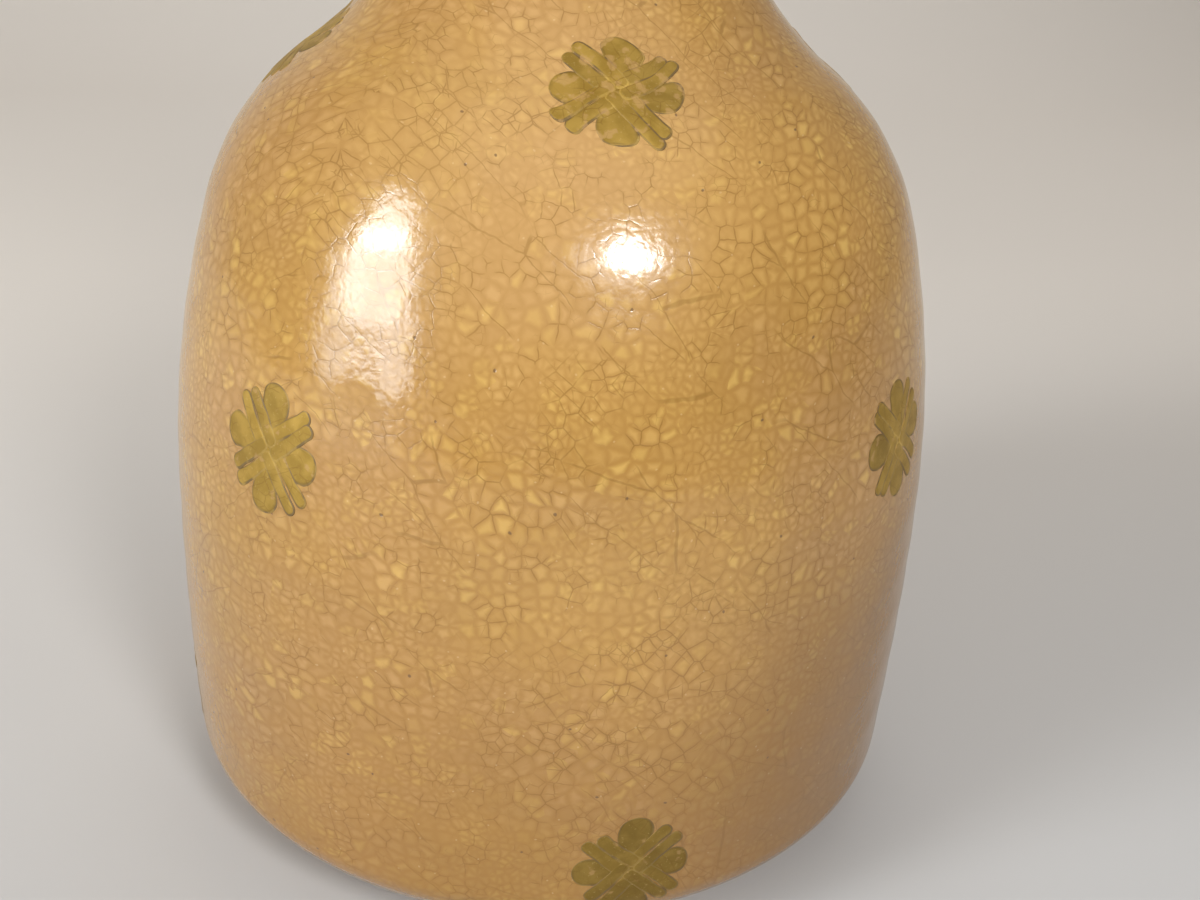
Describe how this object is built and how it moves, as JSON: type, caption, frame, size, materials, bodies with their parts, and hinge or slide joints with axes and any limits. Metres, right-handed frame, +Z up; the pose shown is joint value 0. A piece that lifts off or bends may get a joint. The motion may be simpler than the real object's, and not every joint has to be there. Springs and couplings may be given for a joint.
{
  "type": "sake bottle",
  "caption": "Round ceramic bottle with a wide barrel body, rounded shoulders, a short waisted neck, a rolled lip, a crackled amber glaze and gilt flowers, for holding and pouring drink.",
  "frame": {"origin": "centre of the foot ring on the plane the bottle stands on", "axes": "+Z up along the bottle's axis towards the mouth; -Y is the front, where a shoulder flower and a heel flower face"},
  "size_m": [0.1004, 0.1004, 0.1523],
  "materials": {
    "stoneware": "unglazed, fine-grained fired clay, matt",
    "crackle_glaze": "glossy amber glaze with a fine brown crackle",
    "liner_glaze": "glossy amber glaze lining the inside",
    "gilt": "thin matt-to-satin olive gold painted over the glaze"
  },
  "bodies": {
    "root": {"clay_body": "stoneware", "outer_glaze": "crackle_glaze", "inner_glaze": "liner_glaze", "base_glaze": "crackle_glaze", "shoulder_flower_1": "gilt", "shoulder_flower_2": "gilt", "shoulder_flower_3": "gilt", "shoulder_flower_4": "gilt", "belly_flower_1": "gilt", "belly_flower_2": "gilt", "belly_flower_3": "gilt", "belly_flower_4": "gilt", "heel_flower_1": "gilt", "heel_flower_2": "gilt", "heel_flower_3": "gilt", "heel_flower_4": "gilt"}
  },
  "joints": []
}
